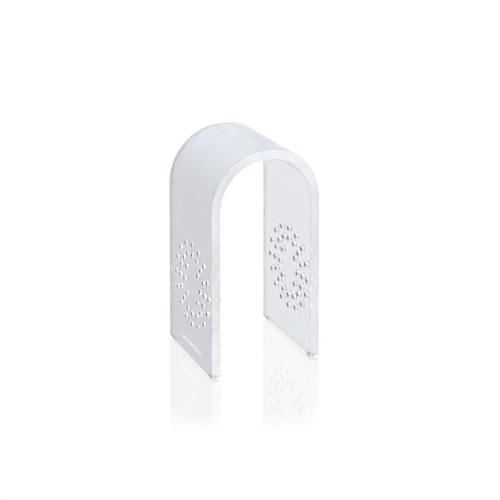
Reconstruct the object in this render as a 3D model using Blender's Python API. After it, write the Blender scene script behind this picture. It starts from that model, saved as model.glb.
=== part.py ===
"""A desk stand for headphones, in metres, +Z up.

One thick sheet of frosted acrylic is cut, drilled and bent into an arch: two flat legs, joined over the top by two
quarter bends and a short flat crown. Three rings of round holes go through each leg, and a clear bumper under each
end of each leg keeps the cut edges off the table.

The origin is the centre of the footprint, on the table. X runs across the two legs, -Y is the front and +Z is up.
"""

import math

import bmesh
import bpy
from mathutils import Matrix, Vector

# The bent sheet
SHEET_THICKNESS = 0.010
ARCH_WIDTH = 0.121
ARCH_DEPTH = 0.110
ARCH_HEIGHT = 0.224  # from the cut lower edge to the top of the crown
OUTER_BEND_RADIUS = 0.0575
BEND_SEGMENTS = 32  # in each quarter bend

# The holes, the same in both legs
HOLE_RADIUS = 0.0025
HOLE_SEGMENTS = 24
PATTERN_Y = -0.0035  # the rings' common centre, a little in front of the middle of the leg
PATTERN_HEIGHT = 0.0770  # above the cut lower edge
HOLE_STEP = math.radians(22.5)
OUTER_RING_RADIUS = 0.042
MIDDLE_RING_RADIUS = 0.031
INNER_RING_RADIUS = 0.020
ALL_STEPS = range(16)
INNER_RING_STEPS = (0, 2, 6, 8, 10, 14)  # the inner ring has no hole at its top and bottom

# The bumpers
FOOT_RADIUS = 0.0040
FOOT_CONTACT_RADIUS = 0.0026
FOOT_HEIGHT = 0.0020
FOOT_SKIRT = 0.0007  # height of the straight side above the rounded edge
FOOT_EDGE_SEGMENTS = 4
FOOT_SEGMENTS = 24
FOOT_INSET = 0.0070  # from the leg's front or rear edge to the foot's centre
ADHESIVE_GAP = 0.0003  # room for the film that holds a foot to the leg

ARCH_BOTTOM = FOOT_HEIGHT + ADHESIVE_GAP
SMOOTH_ANGLE = math.radians(35)


def make_material(name, colour, roughness, transmission):
    """A dielectric with the given colour, roughness and share of light let through."""
    material = bpy.data.materials.new(name)
    material.use_nodes = True
    shader = material.node_tree.nodes["Principled BSDF"]
    shader.inputs["Base Color"].default_value = (*colour, 1.0)
    shader.inputs["Roughness"].default_value = roughness
    shader.inputs["Metallic"].default_value = 0.0
    shader.inputs["IOR"].default_value = 1.49
    shader.inputs["Transmission Weight"].default_value = transmission
    return material


def make_object(name, mesh_builder, material):
    """An object from a filled bmesh, smooth-shaded apart from its sharp edges."""
    mesh = bpy.data.meshes.new(name)
    bmesh.ops.recalc_face_normals(mesh_builder, faces=mesh_builder.faces)
    mesh_builder.to_mesh(mesh)
    mesh_builder.free()
    mesh.materials.append(material)
    mesh.shade_smooth()
    mesh.set_sharp_from_angle(angle=SMOOTH_ANGLE)
    piece = bpy.data.objects.new(name, mesh)
    bpy.context.scene.collection.objects.link(piece)
    return piece


def quarter_bend(side):
    """Directions from a bend's centre to its surface, from level with the leg to straight up."""
    directions = []
    for step in range(BEND_SEGMENTS + 1):
        angle = math.radians(90) * step / BEND_SEGMENTS
        directions.append(Vector((side * math.cos(angle), 0, math.sin(angle))))
    return directions


def arch_outline():
    """Pairs of points on the sheet's outer and inner faces, from the left leg's foot over to the right one's."""
    centre_height = ARCH_BOTTOM + ARCH_HEIGHT - OUTER_BEND_RADIUS
    centre_reach = ARCH_WIDTH / 2 - OUTER_BEND_RADIUS
    inner_bend_radius = OUTER_BEND_RADIUS - SHEET_THICKNESS
    pairs = []
    for side, directions in ((-1, quarter_bend(-1)), (1, reversed(quarter_bend(1)))):
        centre = Vector((side * centre_reach, 0, centre_height))
        for direction in directions:
            pairs.append((centre + direction * OUTER_BEND_RADIUS, centre + direction * inner_bend_radius))
    legs = []
    for outer, inner in (pairs[0], pairs[-1]):
        legs.append((Vector((outer.x, 0, ARCH_BOTTOM)), Vector((inner.x, 0, ARCH_BOTTOM))))
    return [legs[0], *pairs, legs[1]]


def make_arch(material):
    """The bent sheet, as one row of box-like cells from foot to foot."""
    builder = bmesh.new()
    half_depth = Vector((0, ARCH_DEPTH / 2, 0))
    sections = []
    for outer, inner in arch_outline():
        corners = (outer - half_depth, inner - half_depth, inner + half_depth, outer + half_depth)
        sections.append([builder.verts.new(corner) for corner in corners])
    for section, following in zip(sections, sections[1:]):
        for corner in range(4):
            after = (corner + 1) % 4
            builder.faces.new((section[corner], section[after], following[after], following[corner]))
    builder.faces.new(sections[0])
    builder.faces.new(sections[-1])
    return make_object("arch_body", builder, material)


def hole_places():
    """The Y and Z of every hole's axis."""
    rings = (
        (OUTER_RING_RADIUS, ALL_STEPS),
        (MIDDLE_RING_RADIUS, ALL_STEPS),
        (INNER_RING_RADIUS, INNER_RING_STEPS),
    )
    places = []
    for radius, steps in rings:
        for step in steps:
            angle = step * HOLE_STEP
            y = PATTERN_Y + radius * math.cos(angle)
            z = ARCH_BOTTOM + PATTERN_HEIGHT + radius * math.sin(angle)
            places.append((y, z))
    return places


def drill_legs(arch, material):
    """Cuts the rings of holes, with long rods that each go straight through both legs."""
    builder = bmesh.new()
    rod_length = ARCH_WIDTH + 2 * SHEET_THICKNESS
    lay_along_x = Matrix.Rotation(math.radians(90), 4, "Y")
    for y, z in hole_places():
        bmesh.ops.create_cone(
            builder,
            cap_ends=True,
            segments=HOLE_SEGMENTS,
            radius1=HOLE_RADIUS,
            radius2=HOLE_RADIUS,
            depth=rod_length,
            matrix=Matrix.Translation((0, y, z)) @ lay_along_x,
        )
    rods = make_object("hole_cutter", builder, material)
    rods.hide_render = True
    rods.display_type = "WIRE"
    cut = arch.modifiers.new("holes", "BOOLEAN")
    cut.operation = "DIFFERENCE"
    cut.solver = "EXACT"
    cut.object = rods
    return rods


def foot_profile():
    """Radius and height of the bumper's side, from its flat top down round the edge to its flat contact face."""
    points = [(FOOT_RADIUS, FOOT_HEIGHT)]
    edge_width = FOOT_RADIUS - FOOT_CONTACT_RADIUS
    edge_height = FOOT_HEIGHT - FOOT_SKIRT
    for step in range(FOOT_EDGE_SEGMENTS + 1):
        angle = math.radians(90) * step / FOOT_EDGE_SEGMENTS
        radius = FOOT_CONTACT_RADIUS + edge_width * math.cos(angle)
        points.append((radius, edge_height * (1 - math.sin(angle))))
    return points


def make_foot(name, place, material):
    """A round clear bumper, turned from its profile, with its origin at the middle of its contact face."""
    builder = bmesh.new()
    rings = []
    for radius, height in foot_profile():
        ring = []
        for step in range(FOOT_SEGMENTS):
            angle = math.radians(360) * step / FOOT_SEGMENTS
            ring.append(builder.verts.new((radius * math.cos(angle), radius * math.sin(angle), height)))
        rings.append(ring)
    for ring, lower in zip(rings, rings[1:]):
        for step in range(FOOT_SEGMENTS):
            after = (step + 1) % FOOT_SEGMENTS
            builder.faces.new((ring[step], ring[after], lower[after], lower[step]))
    builder.faces.new(rings[0])
    builder.faces.new(rings[-1])
    foot = make_object(name, builder, material)
    foot.location = place
    return foot


def make_feet(material):
    """Four bumpers, one under each end of each leg."""
    reach_x = ARCH_WIDTH / 2 - SHEET_THICKNESS / 2
    reach_y = ARCH_DEPTH / 2 - FOOT_INSET
    feet = []
    for end, y in (("front", -reach_y), ("rear", reach_y)):
        for side, x in (("left", -reach_x), ("right", reach_x)):
            feet.append(make_foot(f"foot_{end}_{side}", (x, y, 0), material))
    return feet


def main():
    for existing in list(bpy.data.objects):
        bpy.data.objects.remove(existing)
    frosted_acrylic = make_material("frosted_acrylic", (0.80, 0.83, 0.88), 0.30, 0.75)
    clear_rubber = make_material("clear_rubber", (0.72, 0.75, 0.80), 0.15, 0.60)
    stand = bpy.data.objects.new("stand", None)
    bpy.context.scene.collection.objects.link(stand)
    arch = make_arch(frosted_acrylic)
    cutter = drill_legs(arch, frosted_acrylic)
    for piece in (arch, cutter, *make_feet(clear_rubber)):
        piece.parent = stand


main()
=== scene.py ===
from collections import namedtuple
import math

import bmesh
import bpy
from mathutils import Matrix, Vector


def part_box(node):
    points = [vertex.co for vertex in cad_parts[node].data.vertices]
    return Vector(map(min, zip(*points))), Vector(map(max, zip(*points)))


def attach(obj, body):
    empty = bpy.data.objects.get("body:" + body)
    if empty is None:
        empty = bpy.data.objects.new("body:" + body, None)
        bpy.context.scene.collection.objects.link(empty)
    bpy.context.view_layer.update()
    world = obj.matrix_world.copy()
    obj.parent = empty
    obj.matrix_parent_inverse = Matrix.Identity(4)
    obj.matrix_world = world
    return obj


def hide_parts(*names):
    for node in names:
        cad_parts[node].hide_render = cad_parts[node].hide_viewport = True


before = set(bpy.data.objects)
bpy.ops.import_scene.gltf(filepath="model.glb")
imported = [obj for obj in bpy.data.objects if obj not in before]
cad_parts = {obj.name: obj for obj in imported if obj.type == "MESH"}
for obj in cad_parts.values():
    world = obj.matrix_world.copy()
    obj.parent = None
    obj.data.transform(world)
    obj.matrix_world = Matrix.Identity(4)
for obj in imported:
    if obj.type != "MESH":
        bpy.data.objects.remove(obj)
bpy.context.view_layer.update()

arch_low, arch_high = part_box("arch_body")

# The bent sheet, whose outer size comes from the frame
ARCH_WIDTH = arch_high.x - arch_low.x
ARCH_DEPTH = arch_high.y - arch_low.y
ARCH_BOTTOM = arch_low.z
ARCH_TOP = arch_high.z
SHEET_THICKNESS = 0.010
OUTER_BEND_RADIUS = 0.0575
BEND_SEGMENTS = 48  # in each quarter bend
EDGE_ROUNDING = 0.0005
EDGE_SEGMENTS = 3
EDGE_ANGLE = math.radians(60)  # edges that turn by more than this are rounded
SMOOTH_ANGLE = math.radians(40)  # edges that turn by less than this are shaded smooth

# The holes in each leg
HOLE_RADIUS = 0.0025
HOLE_SEGMENTS = 40
MOUTH_ROUNDING = 0.0006
MOUTH_SEGMENTS = 4
CUTTER_OVERSHOOT = 0.002
PATTERN_Y = -0.0035
PATTERN_HEIGHT = 0.0770
HOLE_STEP = math.radians(22.5)
ALL_STEPS = range(16)
INNER_RING_STEPS = (0, 2, 6, 8, 10, 14)  # the inner ring has no hole at its top and bottom
RINGS = ((0.042, ALL_STEPS), (0.031, ALL_STEPS), (0.020, INNER_RING_STEPS))

# The plain etched bar low on the outside of each leg
BAR_HEIGHT = 0.0140
BAR_HALF_LENGTH = 0.026
BAR_HALF_WIDTH = 0.0016
BAR_ETCH_DEPTH = 0.00015
BAR_Y = -0.004
BAR_END_SEGMENTS = 8

# The bumpers and the adhesive film over them
FOOT_PREFIX = "foot_"
FOOT_SEGMENTS = 48
FOOT_EDGE_SEGMENTS = 10
FOOT_CONTACT_RADIUS = 0.0026
FOOT_SKIRT = 0.0007  # height of the straight side above the rounded edge
FILM_RADIUS = 0.0038
FILM_CLEARANCE = 0.00002
SEAT_DEPTH = 0.00005

# The acrylic's grain: how deep it is, and how many cells of noise there are in a metre
ACRYLIC_IOR = 1.49
FINE_GRAIN = 0.0000005
GRAIN = 0.000001
COARSE_GRAIN = 0.000003
GRAIN_SCALE = 1500.0
SAW_MARK_SCALE = (1400.0, 60.0, 1.0)  # fine along the cut edge, and long from face to face
WIPE_SCALE = 28.0  # soft clouds, as wiping leaves
WIPE_DETAIL = 3.0
NOISE_ROUGHNESS = 0.6
NOISE_SPAN = (0.3, 0.7)  # nearly all of a noise is in here
TWO_NOISES_SPAN = (0.7, 1.3)  # and nearly all of the sum of two
ROUGHNESS_SPREAD = 0.12
HAZE_SPREAD = 0.06

# Painted light from above: haze that faces up is whiter, from a slight slope to level
PAINTED_TOP_LIGHT = 1.35
PAINTED_TOP_LIGHT_SPAN = (0.2, 1.0)

# A painted glow on the hole walls, standing in for the light that the sheet pipes to them. OUTWARDS is for
# walls seen from outside the arch, and is added to EDGEWAYS. The spans say how much of the line of sight
# runs outwards, and below zero inwards.
PAINTED_GLOW_OUTWARDS = 0.48
PAINTED_GLOW_EDGEWAYS = 0.16
PAINTED_GLOW_INWARDS = 0.05
OUTWARDS_SPAN = (0.40, 0.65)
INWARDS_SPAN = (-0.65, -0.40)
PAINTED_GLOW_COLOUR = (0.97, 0.98, 1.0, 1.0)

# The light from the surroundings. The spans are parts of its direction, along +Z, +X and +Y.
WHITE = 1.0
TOP_LIFT = 2.0
LEFT_SHARE = 0.60
FRONT_LIFT = 2.1
THROUGH_LIFT = 1.4  # in FRONT_LIFT's place for light that comes through the sheet
TOP_SPAN = (0.5, 1.0)
SIDE_SPAN = (-0.8, 0.2)
FRONT_SPAN = (-0.8, 0.0)
SKY_COLOUR = (0.99, 0.995, 1.0, 1.0)
PLAIN_WHITE = (1.0, 1.0, 1.0, 1.0)
AFTER_FIRST_BOUNCE = 1.5  # a ray's depth is 1 at its first bounce and 2 at its second

# The floor
FLOOR_REACH = 8.0
FLOOR_DROP = 0.00005
FLOOR_IOR = 2.8
MIRROR_ROUGHNESS = 0.05
MIRROR_REACH = 0.140
MIRROR_END = 0.180

# The view
CAMERA_PLACE = Vector((-0.5453, -1.1597, 0.6024))
CAMERA_AZIMUTH = math.radians(-25.51)
CAMERA_PITCH = math.radians(4.63)
LENS = 90.68
LENS_RISE = -0.7508  # as on a view camera, it keeps the stand's uprights parallel
HOME_RADIUS = 0.01  # the lens is centred once the camera is this far from CAMERA_PLACE

OUTER_SLOT, INNER_SLOT, EDGE_SLOT, LOWER_SLOT, WALL_SLOT, MOUTH_SLOT, ETCH_SLOT, SEAT_SLOT = range(8)

# What light meets at a surface: tint colours the clear part, haze is the share that scatters, and through is
# the share of the haze's light that goes onwards.
Look = namedtuple("Look", ("tint", "haze", "haze_colour", "through"))


class Shader:
    """One material's node tree, with short forms for adding nodes and linking them."""

    def __init__(self, data):
        data.use_nodes = True
        self.tree = data.node_tree
        self.tree.nodes.clear()

    def add(self, kind, inputs=None, **settings):
        """A new node, with each input linked to the socket or set to the value that is given for it."""
        node = self.tree.nodes.new(kind)
        for name, value in settings.items():
            setattr(node, name, value)
        for name, value in (inputs or {}).items():
            if isinstance(value, bpy.types.NodeSocket):
                self.tree.links.new(value, node.inputs[name])
            else:
                node.inputs[name].default_value = value
        return node

    def object_place(self):
        return self.add("ShaderNodeTexCoord").outputs["Object"]

    def unrolled_place(self):
        return self.add("ShaderNodeUVMap", uv_map="unrolled").outputs["UV"]

    def noise(self, place, scale, detail=2.0):
        inputs = {"Vector": place, "Scale": scale, "Detail": detail, "Roughness": NOISE_ROUGHNESS}
        return self.add("ShaderNodeTexNoise", inputs).outputs["Fac"]

    def stretched(self, place, stretch):
        return self.add("ShaderNodeMapping", {"Vector": place, "Scale": stretch}).outputs[0]

    def remap(self, value, low, high, span):
        """Goes from low to high as the value crosses the span."""
        start, stop = span
        inputs = {"Value": value, "From Min": start, "From Max": stop, "To Min": low, "To Max": high}
        return self.add("ShaderNodeMapRange", inputs).outputs[0]

    def part(self, vector, axis):
        return self.add("ShaderNodeSeparateXYZ", {0: vector}).outputs[axis]

    def sum(self, first, second):
        return self.add("ShaderNodeMath", {0: first, 1: second}, operation="ADD").outputs[0]

    def product(self, first, second):
        return self.add("ShaderNodeMath", {0: first, 1: second}, operation="MULTIPLY").outputs[0]

    def bump(self, height, distance):
        inputs = {"Height": height, "Distance": distance, "Strength": 1.0}
        return self.add("ShaderNodeBump", inputs).outputs[0]

    def mix(self, share, first, second):
        return self.add("ShaderNodeMixShader", {0: share, 1: first, 2: second}).outputs[0]


def haze_tone_with_painted_top_light(shader, colour):
    """The haze's colour, with painted light from above that makes it whiter where it faces up."""
    upward = shader.part(shader.add("ShaderNodeNewGeometry").outputs["Normal"], "Z")
    painted_lit = [min(1.0, PAINTED_TOP_LIGHT * part) for part in colour]
    inputs = {
        "Fac": shader.remap(upward, 0.0, 1.0, PAINTED_TOP_LIGHT_SPAN),
        "Color1": (*colour, 1.0),
        "Color2": (*painted_lit, 1.0),
    }
    return shader.add("ShaderNodeMixRGB", inputs).outputs[0]


def skin(shader, look, roughness, haze, normal):
    """Clear acrylic, of which a share, haze, scatters light."""
    # The haze colour carries painted light from above
    tone = haze_tone_with_painted_top_light(shader, look.haze_colour)
    inputs = {
        "Base Color": (*look.tint, 1.0),
        "Roughness": roughness,
        "IOR": ACRYLIC_IOR,
        "Transmission Weight": 1.0,
        "Normal": normal,
    }
    clear = shader.add("ShaderNodeBsdfPrincipled", inputs).outputs[0]
    bounced = shader.add("ShaderNodeBsdfDiffuse", {"Color": tone}).outputs[0]
    passed = shader.add("ShaderNodeBsdfTranslucent", {"Color": tone}).outputs[0]
    return shader.mix(haze, clear, shader.mix(look.through, bounced, passed))


def painted_piped_glow(shader):
    """A painted glow on the hole walls, standing in for light that the sheet pipes to them, strongest as
    seen from outside the arch.
    """
    sight = shader.add("ShaderNodeNewGeometry")
    across = shader.part(sight.outputs["Position"], "X")
    viewed = shader.part(sight.outputs["Incoming"], "X")
    outwards = shader.product(shader.product(across, viewed), 2 / ARCH_WIDTH)
    strength = shader.sum(
        shader.remap(outwards, 0.0, PAINTED_GLOW_OUTWARDS, OUTWARDS_SPAN),
        shader.remap(outwards, PAINTED_GLOW_INWARDS, PAINTED_GLOW_EDGEWAYS, INWARDS_SPAN),
    )
    return shader.add("ShaderNodeEmission", {"Color": PAINTED_GLOW_COLOUR, "Strength": strength}).outputs[0]


def acrylic(name, roughness, bump_depth, outside, inside=None, sawn=False, glow=False):
    """Acrylic with a worked surface. It looks the same from inside the acrylic unless inside is given."""
    material = bpy.data.materials.new(name)
    shader = Shader(material)
    wipe = shader.noise(shader.object_place(), WIPE_SCALE, WIPE_DETAIL)
    if sawn:
        grain = shader.noise(shader.stretched(shader.unrolled_place(), SAW_MARK_SCALE), 1.0)
    else:
        grain = shader.noise(shader.object_place(), GRAIN_SCALE)
    smoothest = roughness * (1 - ROUGHNESS_SPREAD)
    roughest = roughness * (1 + ROUGHNESS_SPREAD)
    worked = shader.remap(shader.sum(wipe, grain), smoothest, roughest, TWO_NOISES_SPAN)
    normal = shader.bump(grain, bump_depth)
    skins = []
    for look in (outside, inside or outside):
        clearest = look.haze * (1 - HAZE_SPREAD)
        haziest = look.haze * (1 + HAZE_SPREAD)
        haze = shader.remap(wipe, clearest, haziest, NOISE_SPAN)
        skins.append(skin(shader, look, worked, haze, normal))
    # A painted glow on the inside skin, standing in for piped light
    if glow:
        skins[1] = shader.add("ShaderNodeAddShader", {0: skins[1], 1: painted_piped_glow(shader)}).outputs[0]
    from_inside = shader.add("ShaderNodeNewGeometry").outputs["Backfacing"]
    shader.add("ShaderNodeOutputMaterial", {"Surface": shader.mix(from_inside, *skins)})
    return material


def frosted_face():
    """The sheet's outer face, which blurs what is behind it. Its grey tints and haze colours are painted
    shade from dim surroundings; the frosted acrylic itself is clear.
    """
    # Painted shade: the grey tints and haze colours darken the face
    outside = Look((0.555, 0.57, 0.60), 0.36, (0.59, 0.61, 0.66), 0.3)
    inside = Look((0.73, 0.75, 0.78), 0.12, (0.58, 0.61, 0.66), 0.5)
    return acrylic("frosted_face", 0.20, GRAIN, outside, inside)


def satin_face():
    """The sheet's inner face, clearer than the outer one."""
    tint = (0.96, 0.97, 1.0)
    haze_colour = (0.86, 0.90, 0.96)
    outside = Look(tint, 0.10, haze_colour, 0.5)
    inside = Look(tint, 0.06, haze_colour, 0.5)
    return acrylic("satin_face", 0.12, FINE_GRAIN, outside, inside)


def cut_edge():
    """The front and rear edges, sawn and polished."""
    outside = Look((0.98, 0.99, 1.0), 0.31, (0.98, 0.99, 1.0), 0.10)
    inside = Look((0.98, 0.99, 1.0), 0.80, (0.77, 0.79, 0.83), 0.5)
    return acrylic("cut_edge", 0.03, FINE_GRAIN, outside, inside, sawn=True)


def lower_edge():
    """The legs' ends, sawn and less polished."""
    look = Look((0.98, 0.99, 1.0), 0.35, (0.95, 0.97, 1.0), 0.85)
    return acrylic("lower_edge", 0.10, FINE_GRAIN, look, sawn=True)


def hole_wall():
    """Drilled walls: painted shade makes them dark in the open hole, and a painted glow makes them bright
    through the sheet.
    """
    # The dark outside look is painted shade
    outside = Look((0.14, 0.15, 0.165), 0.08, (0.40, 0.42, 0.46), 0.5)
    inside = Look((0.99, 0.995, 1.0), 0.15, (0.97, 0.98, 1.0), 0.5)
    return acrylic("hole_wall", 0.20, GRAIN, outside, inside, glow=True)


def hole_mouth():
    """The rounded rims of the holes, white outside as ground acrylic is, and dark through the sheet with
    painted shade.
    """
    outside = Look((0.98, 0.99, 1.0), 0.85, (0.98, 0.985, 1.0), 0.3)
    # The dark inside look is painted shade
    inside = Look((0.10, 0.11, 0.12), 0.50, (0.12, 0.12, 0.13), 0.1)
    return acrylic("hole_mouth", 0.30, GRAIN, outside, inside)


def etched_mark():
    """The white bottom of the etched bar."""
    look = Look((0.98, 0.99, 1.0), 0.75, (0.98, 0.985, 1.0), 0.3)
    return acrylic("etched_mark", 0.50, COARSE_GRAIN, look)


def foot_seat():
    """The end of the leg over a foot's film, which is darker."""
    look = Look((0.45, 0.47, 0.50), 0.60, (0.22, 0.23, 0.25), 0.5)
    return acrylic("foot_seat", 0.30, GRAIN, look)


def clear_rubber():
    """The bumpers."""
    look = Look((0.72, 0.75, 0.80), 0.15, (0.60, 0.63, 0.68), 0.5)
    return acrylic("clear_rubber", 0.10, GRAIN, look)


def adhesive():
    """The film between a bumper and the sheet."""
    look = Look((0.60, 0.62, 0.66), 0.35, (0.50, 0.53, 0.58), 0.5)
    return acrylic("adhesive", 0.35, GRAIN, look)


def sheet_materials():
    """In the order of the slots."""
    return (
        frosted_face(),
        satin_face(),
        cut_edge(),
        lower_edge(),
        hole_wall(),
        hole_mouth(),
        etched_mark(),
        foot_seat(),
    )


def link_object(name, builder, materials):
    """An object from a bmesh, with its normals facing out."""
    bmesh.ops.recalc_face_normals(builder, faces=builder.faces)
    mesh = bpy.data.meshes.new(name)
    builder.to_mesh(mesh)
    builder.free()
    for material in materials:
        mesh.materials.append(material)
    piece = bpy.data.objects.new(name, mesh)
    bpy.context.scene.collection.objects.link(piece)
    return piece


def shade_smooth(piece):
    """Smooth shading, apart from sharp edges."""
    piece.data.shade_smooth()
    piece.data.set_sharp_from_angle(angle=SMOOTH_ANGLE)


def apply_modifiers(piece):
    """Makes the piece's modifiers part of its mesh."""
    graph = bpy.context.evaluated_depsgraph_get()
    shaped = piece.evaluated_get(graph)
    mesh = bpy.data.meshes.new_from_object(shaped, preserve_all_data_layers=True, depsgraph=graph)
    piece.modifiers.clear()
    piece.data = mesh


def sheet_outline():
    """Pairs of points on the outer and inner faces, from the left leg's lower edge to the right leg's."""
    centre_height = ARCH_TOP - OUTER_BEND_RADIUS
    centre_reach = ARCH_WIDTH / 2 - OUTER_BEND_RADIUS
    inner_bend_radius = OUTER_BEND_RADIUS - SHEET_THICKNESS
    pairs = []
    for side in (-1, 1):
        centre = Vector((side * centre_reach, 0, centre_height))
        bend = []
        for step in range(BEND_SEGMENTS + 1):
            angle = math.radians(90) * step / BEND_SEGMENTS
            direction = Vector((side * math.cos(angle), 0, math.sin(angle)))
            bend.append((centre + direction * OUTER_BEND_RADIUS, centre + direction * inner_bend_radius))
        pairs += bend if side < 0 else reversed(bend)
    ends = []
    for outer, inner in (pairs[0], pairs[-1]):
        ends.append((Vector((outer.x, 0, ARCH_BOTTOM)), Vector((inner.x, 0, ARCH_BOTTOM))))
    return [ends[0], *pairs, ends[1]]


def lengths_along(outline):
    """How far each pair of points is along the middle of the sheet."""
    lengths = [0.0]
    for (outer, inner), (next_outer, next_inner) in zip(outline, outline[1:]):
        step = (next_outer + next_inner) / 2 - (outer + inner) / 2
        lengths.append(lengths[-1] + step.length)
    return lengths


def add_face(builder, corners, slot, layer, flat_corners):
    """A face in a material slot. flat_corners are its corners on the sheet laid flat."""
    face = builder.faces.new(corners)
    face.material_index = slot
    for loop, flat in zip(face.loops, flat_corners):
        loop[layer].uv = flat


def make_sheet(materials):
    """The bent sheet with rounded edges. Its UV map is the sheet laid flat: length, then width."""
    builder = bmesh.new()
    layer = builder.loops.layers.uv.new("unrolled")
    half_depth = Vector((0, ARCH_DEPTH / 2, 0))
    outline = sheet_outline()
    lengths = lengths_along(outline)
    sections = []
    for outer, inner in outline:
        corners = (outer - half_depth, inner - half_depth, inner + half_depth, outer + half_depth)
        sections.append([builder.verts.new(corner) for corner in corners])
    sides = (
        (EDGE_SLOT, SHEET_THICKNESS),
        (INNER_SLOT, ARCH_DEPTH),
        (EDGE_SLOT, SHEET_THICKNESS),
        (OUTER_SLOT, ARCH_DEPTH),
    )
    for number in range(len(sections) - 1):
        section, following = sections[number], sections[number + 1]
        start, stop = lengths[number], lengths[number + 1]
        for corner, (slot, width) in enumerate(sides):
            after = (corner + 1) % 4
            corners = (section[corner], section[after], following[after], following[corner])
            flat = ((start, 0.0), (start, width), (stop, width), (stop, 0.0))
            add_face(builder, corners, slot, layer, flat)
    flat_end = ((0, 0), (0, SHEET_THICKNESS), (ARCH_DEPTH, SHEET_THICKNESS), (ARCH_DEPTH, 0))
    for end in (sections[0], sections[-1]):
        add_face(builder, end, LOWER_SLOT, layer, flat_end)
    sheet = link_object("bent_sheet", builder, materials)
    rounding = sheet.modifiers.new("rounding", "BEVEL")
    rounding.width = EDGE_ROUNDING
    rounding.segments = EDGE_SEGMENTS
    rounding.limit_method = "ANGLE"
    rounding.angle_limit = EDGE_ANGLE
    apply_modifiers(sheet)
    return sheet


def add_turned(builder, profile, segments, place, slots=None):
    """Adds a closed turned solid.

    The profile is a row of points, each with its reach along the axis and its radius. place gives a point's
    position from its reach and its two distances from the axis. slots has each stretch's material slot.
    """
    rings = []
    for reach, radius in profile:
        ring = []
        for step in range(segments):
            angle = math.radians(360) * (step + 0.5) / segments
            position = place(reach, radius * math.cos(angle), radius * math.sin(angle))
            ring.append(builder.verts.new(position))
        rings.append(ring)
    for number in range(len(rings) - 1):
        ring, following = rings[number], rings[number + 1]
        for step in range(segments):
            after = (step + 1) % segments
            face = builder.faces.new((ring[step], ring[after], following[after], following[step]))
            face.material_index = slots[number] if slots else 0
    builder.faces.new(rings[0])
    builder.faces.new(rings[-1])


def through_leg(side, y, z):
    """Turns a solid round an axis that runs through a leg at the given Y and Z."""

    def place(reach, along_y, along_z):
        return (side * reach, y + along_y, z + along_z)

    return place


def upright(x, y):
    """Turns a solid round a vertical axis at the given X and Y."""

    def place(reach, along_x, along_y):
        return (x + along_x, y + along_y, reach)

    return place


def cut_away(sheet, builder, materials):
    """Cuts the solid in builder out of the sheet, and gives the cut faces its materials."""
    cutter = link_object("cutter", builder, materials)
    cut = sheet.modifiers.new("cut", "BOOLEAN")
    cut.operation = "DIFFERENCE"
    cut.solver = "EXACT"
    cut.material_mode = "TRANSFER"
    cut.object = cutter
    apply_modifiers(sheet)
    bpy.data.objects.remove(cutter)


def hole_places():
    """The Y and Z of every hole's axis."""
    places = []
    for radius, steps in RINGS:
        for step in steps:
            angle = step * HOLE_STEP
            y = PATTERN_Y + radius * math.cos(angle)
            z = ARCH_BOTTOM + PATTERN_HEIGHT + radius * math.sin(angle)
            places.append((y, z))
    return places


def hole_profile():
    """Reach along X and radius of one leg's hole, rounded where it opens through each face."""
    mouth = []
    for step in range(MOUTH_SEGMENTS + 1):
        angle = math.radians(90) * step / MOUTH_SEGMENTS
        depth = MOUTH_ROUNDING * (1 - math.cos(angle))
        radius = HOLE_RADIUS + MOUTH_ROUNDING * (1 - math.sin(angle))
        mouth.append((depth, radius))
    outer = ARCH_WIDTH / 2
    inner = outer - SHEET_THICKNESS
    widest = HOLE_RADIUS + MOUTH_ROUNDING
    profile = [(inner - CUTTER_OVERSHOOT, widest)]
    profile += [(inner + depth, radius) for depth, radius in mouth]
    profile += [(outer - depth, radius) for depth, radius in reversed(mouth)]
    profile.append((outer + CUTTER_OVERSHOOT, widest))
    return profile


def drill_holes(sheet, wall, mouth):
    """Cuts every hole in both legs, with a wall and two mouths."""
    builder = bmesh.new()
    profile = hole_profile()
    wall_slot, mouth_slot = range(2)
    mouth_stretches = [mouth_slot] * (MOUTH_SEGMENTS + 1)
    slots = (*mouth_stretches, wall_slot, *mouth_stretches)
    for y, z in hole_places():
        for side in (-1, 1):
            add_turned(builder, profile, HOLE_SEGMENTS, through_leg(side, y, z), slots)
    cut_away(sheet, builder, [wall, mouth])


def bar_outline():
    """The Y and Z of the points round the etched bar."""
    outline = []
    for end in (-1, 1):
        for step in range(BAR_END_SEGMENTS + 1):
            angle = math.radians(180) * (step / BAR_END_SEGMENTS - 0.5)
            y = end * (BAR_HALF_LENGTH - BAR_HALF_WIDTH + BAR_HALF_WIDTH * math.cos(angle))
            z = ARCH_BOTTOM + BAR_HEIGHT + end * BAR_HALF_WIDTH * math.sin(angle)
            outline.append((BAR_Y + y, z))
    return outline


def etch_bars(sheet, material):
    """A plain round-ended bar, lightly sunk in the outside of each leg."""
    builder = bmesh.new()
    outline = bar_outline()
    for side in (-1, 1):
        deep = side * (ARCH_WIDTH / 2 - BAR_ETCH_DEPTH)
        proud = side * (ARCH_WIDTH / 2 + SHEET_THICKNESS)
        inner = [builder.verts.new((deep, y, z)) for y, z in outline]
        outer = [builder.verts.new((proud, y, z)) for y, z in outline]
        for step in range(len(outline)):
            after = (step + 1) % len(outline)
            builder.faces.new((inner[step], inner[after], outer[after], outer[step]))
        builder.faces.new(inner)
        builder.faces.new(outer)
    cut_away(sheet, builder, [material])


def feet_in_frame():
    """The name, middle X, middle Y, radius and height of each foot."""
    feet = []
    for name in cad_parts:
        if name.startswith(FOOT_PREFIX):
            low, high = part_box(name)
            middle = (low + high) / 2
            feet.append((name, middle.x, middle.y, (high.x - low.x) / 2, high.z))
    return feet


def seat_feet(sheet, material):
    """Marks where each foot's film meets the sheet, with a very shallow round pocket."""
    builder = bmesh.new()
    profile = ((ARCH_BOTTOM - SHEET_THICKNESS, FILM_RADIUS), (ARCH_BOTTOM + SEAT_DEPTH, FILM_RADIUS))
    for _, x, y, _, _ in feet_in_frame():
        add_turned(builder, profile, FOOT_SEGMENTS, upright(x, y))
    cut_away(sheet, builder, [material])


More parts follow.
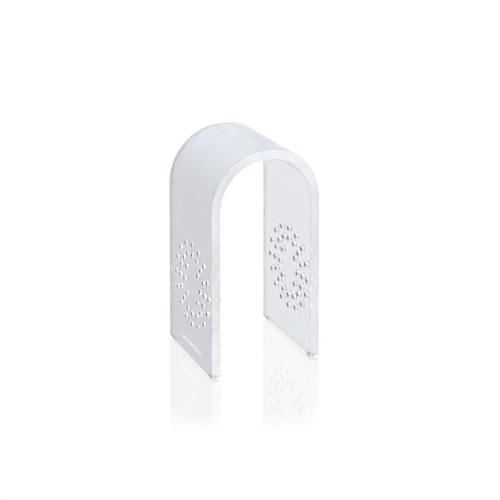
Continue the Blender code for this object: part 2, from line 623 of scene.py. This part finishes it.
def make_arch():
    """The bent, drilled and etched sheet, in the CAD arch's place."""
    materials = sheet_materials()
    sheet = make_sheet(materials)
    drill_holes(sheet, materials[WALL_SLOT], materials[MOUTH_SLOT])
    etch_bars(sheet, materials[ETCH_SLOT])
    seat_feet(sheet, materials[SEAT_SLOT])
    shade_smooth(sheet)
    level = sheet.modifiers.new("level_faces", "WEIGHTED_NORMAL")
    level.keep_sharp = True
    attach(sheet, "root")
    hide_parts("arch_body")


def foot_profile(height, radius):
    """Height and radius of a bumper's side, from its contact face round the edge to its flat top."""
    edge_width = radius - FOOT_CONTACT_RADIUS
    edge_height = height - FOOT_SKIRT
    profile = []
    for step in range(FOOT_EDGE_SEGMENTS + 1):
        angle = math.radians(90) * step / FOOT_EDGE_SEGMENTS
        level = edge_height * (1 - math.cos(angle))
        profile.append((level, FOOT_CONTACT_RADIUS + edge_width * math.sin(angle)))
    profile.append((height, radius))
    return profile


def make_turned(name, profile, place, material):
    """A round piece of a foot, which rides on the stand."""
    builder = bmesh.new()
    add_turned(builder, profile, FOOT_SEGMENTS, place)
    piece = link_object(name, builder, [material])
    shade_smooth(piece)
    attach(piece, "root")
    return piece


def make_feet():
    """A finely turned clear bumper in each foot's place, and a film of adhesive over it."""
    bumper_material = clear_rubber()
    film_material = adhesive()
    for name, x, y, radius, height in feet_in_frame():
        corner = name.removeprefix(FOOT_PREFIX)
        place = upright(x, y)
        bumper = make_turned(f"bumper_{corner}", foot_profile(height, radius), place, bumper_material)
        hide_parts(name)
        film_low = height + FILM_CLEARANCE
        film_high = ARCH_BOTTOM - FILM_CLEARANCE
        film_profile = ((film_low, FILM_RADIUS), (film_high, FILM_RADIUS))
        make_turned(f"adhesive_film_{corner}", film_profile, place, film_material)


def glossy_white():
    """White that lights itself, with a mirror that fades away round the stand."""
    material = bpy.data.materials.new("glossy_white")
    shader = Shader(material)
    glow = shader.add("ShaderNodeEmission", {"Color": PLAIN_WHITE, "Strength": WHITE}).outputs[0]
    polish = {"Color": PLAIN_WHITE, "Roughness": MIRROR_ROUGHNESS}
    mirror = shader.add("ShaderNodeBsdfGlossy", polish).outputs[0]
    fresnel = shader.add("ShaderNodeFresnel", {"IOR": FLOOR_IOR}).outputs[0]
    place = shader.object_place()
    away = shader.add("ShaderNodeVectorMath", {0: place}, operation="LENGTH").outputs["Value"]
    share = shader.product(fresnel, shader.remap(away, 1.0, 0.0, (MIRROR_REACH, MIRROR_END)))
    shader.add("ShaderNodeOutputMaterial", {"Surface": shader.mix(share, glow, mirror)})
    return material


def make_floor():
    """A wide white floor with no shadow, which mirrors the stand faintly."""
    builder = bmesh.new()
    bmesh.ops.create_grid(builder, x_segments=1, y_segments=1, size=FLOOR_REACH)
    floor = link_object("floor", builder, [glossy_white()])
    floor.location.z = -FLOOR_DROP


def make_world():
    """White round the horizon, brighter overhead and from the front, dimmer from the left.

    The camera sees it as plain white, both directly and mirrored once.
    """
    world = bpy.data.worlds.new("studio")
    bpy.context.scene.world = world
    shader = Shader(world)
    direction = shader.add("ShaderNodeTexCoord").outputs["Generated"]
    way = shader.add("ShaderNodeSeparateXYZ", {0: direction}).outputs
    path = shader.add("ShaderNodeLightPath").outputs
    by_height = shader.remap(way["Z"], WHITE, TOP_LIFT, TOP_SPAN)
    by_side = shader.remap(way["X"], LEFT_SHARE, WHITE, SIDE_SPAN)
    front_lift = shader.remap(path["Is Transmission Ray"], FRONT_LIFT, THROUGH_LIFT, (0.0, 1.0))
    by_front = shader.remap(way["Y"], front_lift, WHITE, FRONT_SPAN)
    level = shader.product(shader.product(by_height, by_side), by_front)
    sky = shader.add("ShaderNodeBackground", {"Color": SKY_COLOUR, "Strength": level}).outputs[0]
    backdrop = shader.add("ShaderNodeBackground", {"Color": PLAIN_WHITE}).outputs[0]
    early = {0: path["Ray Depth"], 1: AFTER_FIRST_BOUNCE}
    first = shader.add("ShaderNodeMath", early, operation="LESS_THAN").outputs[0]
    mirrored = shader.product(path["Is Glossy Ray"], first)
    plain = shader.sum(path["Is Camera Ray"], mirrored)
    shader.add("ShaderNodeOutputWorld", {"Surface": shader.mix(plain, sky, backdrop)})


def raise_lens(camera, home):
    """Shifts the lens while the camera is at home, and centres it when the camera is moved elsewhere."""
    curve = camera.data.driver_add("shift_y")
    for modifier in list(curve.modifiers):
        curve.modifiers.remove(modifier)
    curve.keyframe_points.add(2)
    for point, place in zip(curve.keyframe_points, ((0.0, LENS_RISE), (HOME_RADIUS, 0.0))):
        point.co = place
        point.interpolation = "LINEAR"
    curve.driver.type = "SUM"
    gap = curve.driver.variables.new()
    gap.type = "LOC_DIFF"
    gap.targets[0].id = camera
    gap.targets[1].id = home


def make_camera():
    """A camera at CAMERA_PLACE, with an empty there that stays behind when the camera is moved."""
    data = bpy.data.cameras.new("camera")
    data.lens = LENS
    camera = bpy.data.objects.new("camera", data)
    home = bpy.data.objects.new("camera_home", None)
    for holder in (camera, home):
        holder.location = CAMERA_PLACE
        bpy.context.scene.collection.objects.link(holder)
    camera.rotation_euler = (math.radians(90) - CAMERA_PITCH, 0, CAMERA_AZIMUTH)
    raise_lens(camera, home)
    bpy.context.scene.camera = camera


make_arch()
make_feet()
make_floor()
make_world()
make_camera()
bpy.context.scene.view_settings.view_transform = "Standard"
